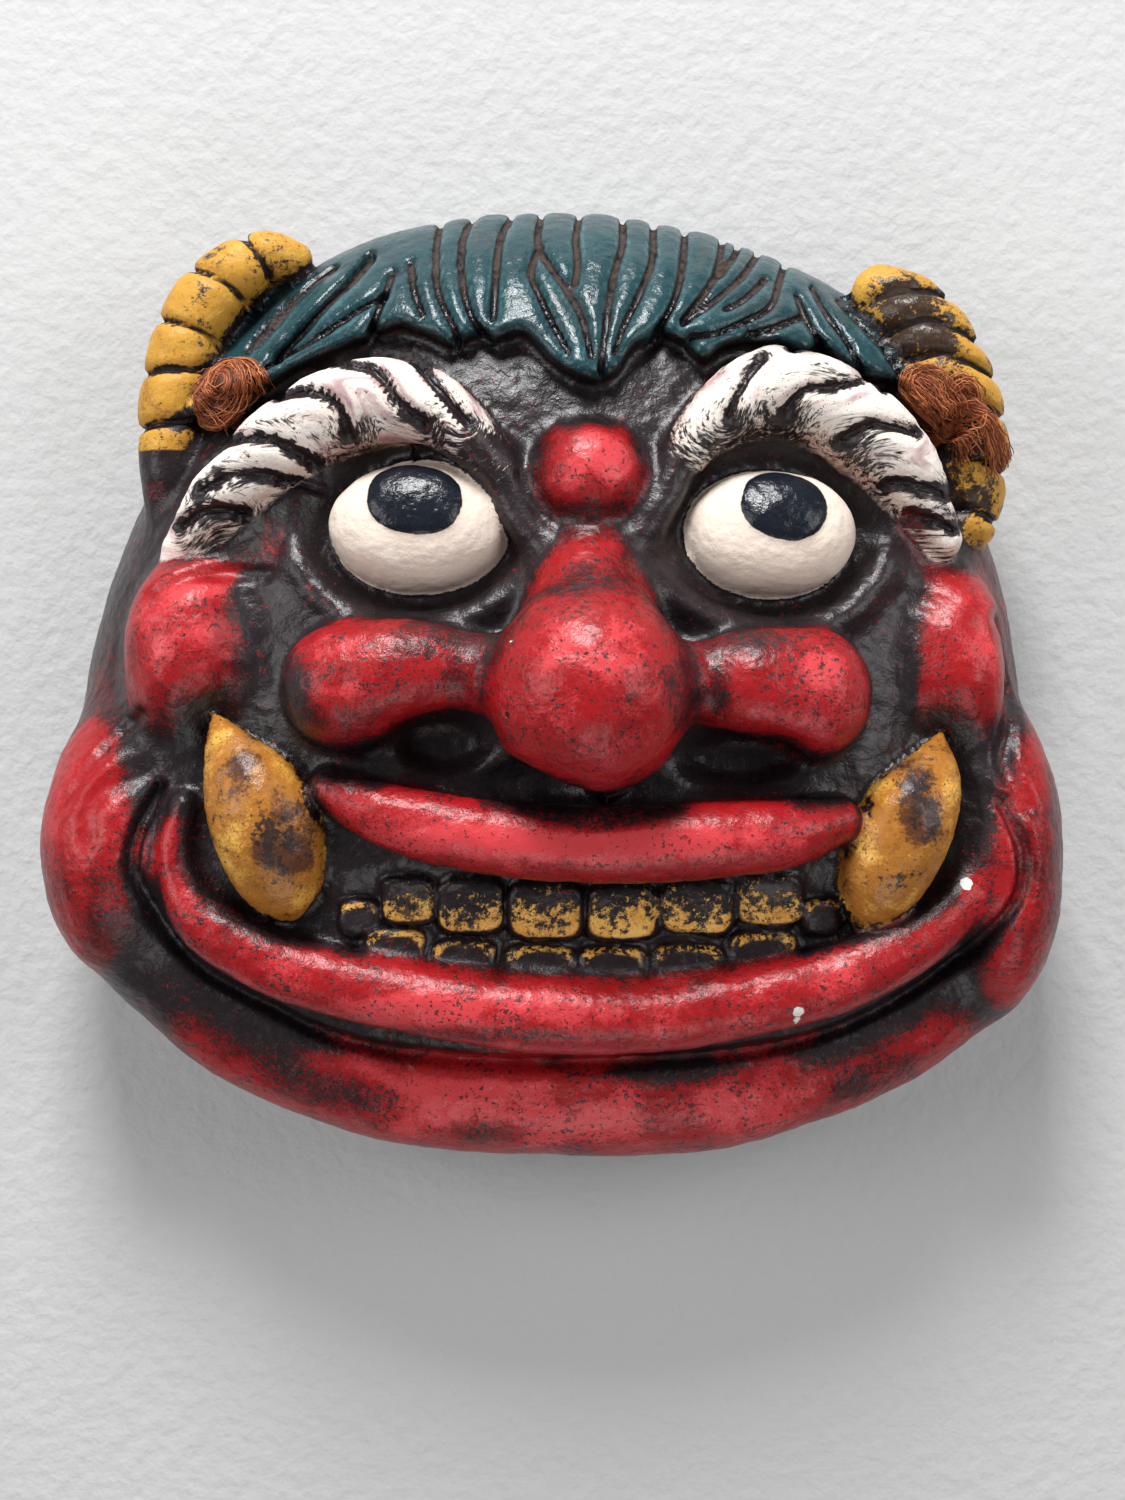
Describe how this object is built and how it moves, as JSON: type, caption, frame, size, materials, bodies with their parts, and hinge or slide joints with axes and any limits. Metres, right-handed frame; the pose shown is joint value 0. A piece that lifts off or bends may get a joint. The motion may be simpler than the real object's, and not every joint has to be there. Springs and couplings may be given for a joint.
{
  "type": "oni mask",
  "caption": "Horned, grinning demon wall mask cast in plaster, hollow behind, with a hanging cord knotted at each brow.",
  "frame": {"origin": "on the plane of the back rim, under the middle of the mask's outline", "axes": "+Z out of the face, +Y towards the hair, +X to the right of someone who looks at the face"},
  "size_m": [0.2901, 0.2721, 0.118],
  "materials": {
    "painted_plaster": "crimson paint brushed over charcoal on cast plaster, with a satin sheen",
    "rust_brown_fibre": "loose twisted fibre, matt"
  },
  "bodies": {
    "root": {"mask": "painted_plaster", "hanging_cord": "rust_brown_fibre", "left_knot": "rust_brown_fibre", "right_knot": "rust_brown_fibre"}
  },
  "joints": []
}
